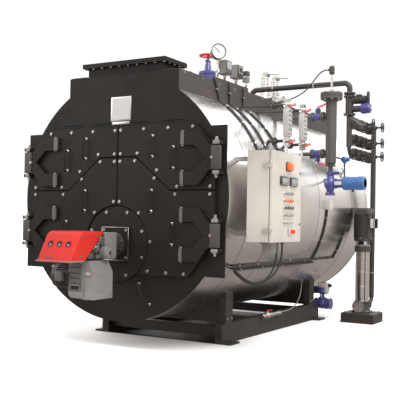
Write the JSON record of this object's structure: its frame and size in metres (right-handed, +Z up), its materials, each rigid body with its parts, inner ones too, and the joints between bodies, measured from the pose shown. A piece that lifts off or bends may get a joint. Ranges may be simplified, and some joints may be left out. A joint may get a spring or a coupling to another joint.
{
  "type": "industrial steam boiler",
  "caption": "Horizontal fire-tube steam boiler on skids with hinged front doors, burner, flue outlet, walkway, level gauges, feed pump and control cabinet.",
  "frame": {"origin": "on the floor, at the centre of the rectangle of the four anchor bolt holes in the foot plates", "axes": "+Z up, +Y backwards along the drum from the burner end, +X to the right seen from the front"},
  "size_m": [2.98, 4.83, 3.22],
  "materials": {
    "boiler_black": "satin black paint",
    "cladding": "bright rolled sheet",
    "boiler_steel": "sooted plate",
    "refractory": "cast refractory",
    "burner_grey": "satin grey casting",
    "burner_red": "gloss red paint",
    "motor_black": "black paint",
    "deck_paint": "satin brown-grey paint",
    "valve_blue": "gloss blue paint",
    "actuator_blue": "gloss light blue paint",
    "handle_red": "red paint",
    "fitting_steel": "bare steel",
    "instrument_plastic": "grey plastic",
    "pipe_black": "black paint",
    "pipe_brown": "brown-grey paint",
    "pump_steel": "polished steel",
    "cabinet_beige": "fine textured beige paint",
    "control_plastic": "plastic",
    "conduit_black": "black sleeve",
    "skid_brown": "satin dark paint"
  },
  "bodies": {
    "boiler": {"front_plate": "boiler_black", "smoke_box_wall": "cladding", "tube_plate": "boiler_steel", "drum_shell": "cladding", "rear_end_plate": "cladding", "burner_throat": "refractory", "hinge_brackets": "boiler_black", "burner_plate": "boiler_black", "burner_body": "burner_grey", "burner_hood": "burner_red", "fan_housing": "burner_grey", "fan_motor": "motor_black", "flue_outlet": "boiler_black", "walkway_deck": "deck_paint", "steam_valve": "valve_blue", "steam_valve_wheel": "handle_red", "manhole": "cladding", "safety_valves": "fitting_steel", "instrument_rail": "deck_paint", "pressure_gauge": "fitting_steel", "pressure_switches": "instrument_plastic", "level_gauge_pipes": "pipe_black", "level_gauges": "fitting_steel", "water_column": "pipe_brown", "level_probe": "fitting_steel", "blowdown_valve": "valve_blue", "blowdown_actuator": "actuator_blue", "feed_pipe": "pipe_black", "feed_valves": "pipe_black", "feed_valve_wheels": "motor_black", "pump_plinth": "skid_brown", "pump_body": "pump_steel", "pump_motor": "motor_black", "control_cabinet": "cabinet_beige", "cabinet_brackets": "boiler_black", "cabinet_hinges": "fitting_steel", "conduits": "conduit_black", "skid_frame": "skid_brown", "saddles": "skid_brown", "bottom_blowdown": "valve_blue", "deck_skirts": "deck_paint", "link_valves": "valve_blue", "front_cable": "conduit_black", "rear_cable": "conduit_black", "probe_cable": "conduit_black"},
    "upper_left_door_swing": {"upper_left_door": "boiler_black", "upper_left_lining": "refractory", "upper_left_yoke": "boiler_black"},
    "upper_right_door_swing": {"upper_right_door": "boiler_black", "upper_right_lining": "refractory", "upper_right_yoke": "boiler_black"},
    "lower_left_door_swing": {"lower_left_door": "boiler_black", "lower_left_lining": "refractory", "lower_left_yoke": "boiler_black"},
    "lower_right_door_swing": {"lower_right_door": "boiler_black", "lower_right_lining": "refractory", "lower_right_yoke": "boiler_black"},
    "cabinet_door_swing": {"cabinet_door": "cabinet_beige", "cabinet_controls": "control_plastic"}
  },
  "joints": [
    {"name": "upper_left_hinge", "type": "hinge", "parent": "boiler", "child": "upper_left_door_swing", "pos_m": [-1.105, -2.1, 1.792], "axis": [0, 0, -1], "range_deg": [0, 105]},
    {"name": "upper_right_hinge", "type": "hinge", "parent": "boiler", "child": "upper_right_door_swing", "pos_m": [1.105, -2.1, 1.792], "axis": [0, 0, 1], "range_deg": [0, 105]},
    {"name": "lower_left_hinge", "type": "hinge", "parent": "boiler", "child": "lower_left_door_swing", "pos_m": [-1.105, -2.1, 1.1], "axis": [0, 0, -1], "range_deg": [0, 105]},
    {"name": "lower_right_hinge", "type": "hinge", "parent": "boiler", "child": "lower_right_door_swing", "pos_m": [1.105, -2.1, 1.1], "axis": [0, 0, 1], "range_deg": [0, 105]},
    {"name": "cabinet_hinge", "type": "hinge", "parent": "boiler", "child": "cabinet_door_swing", "pos_m": [1.519, -1.852, 1.4585], "axis": [0, 0, -1], "range_deg": [0, 120]}
  ]
}
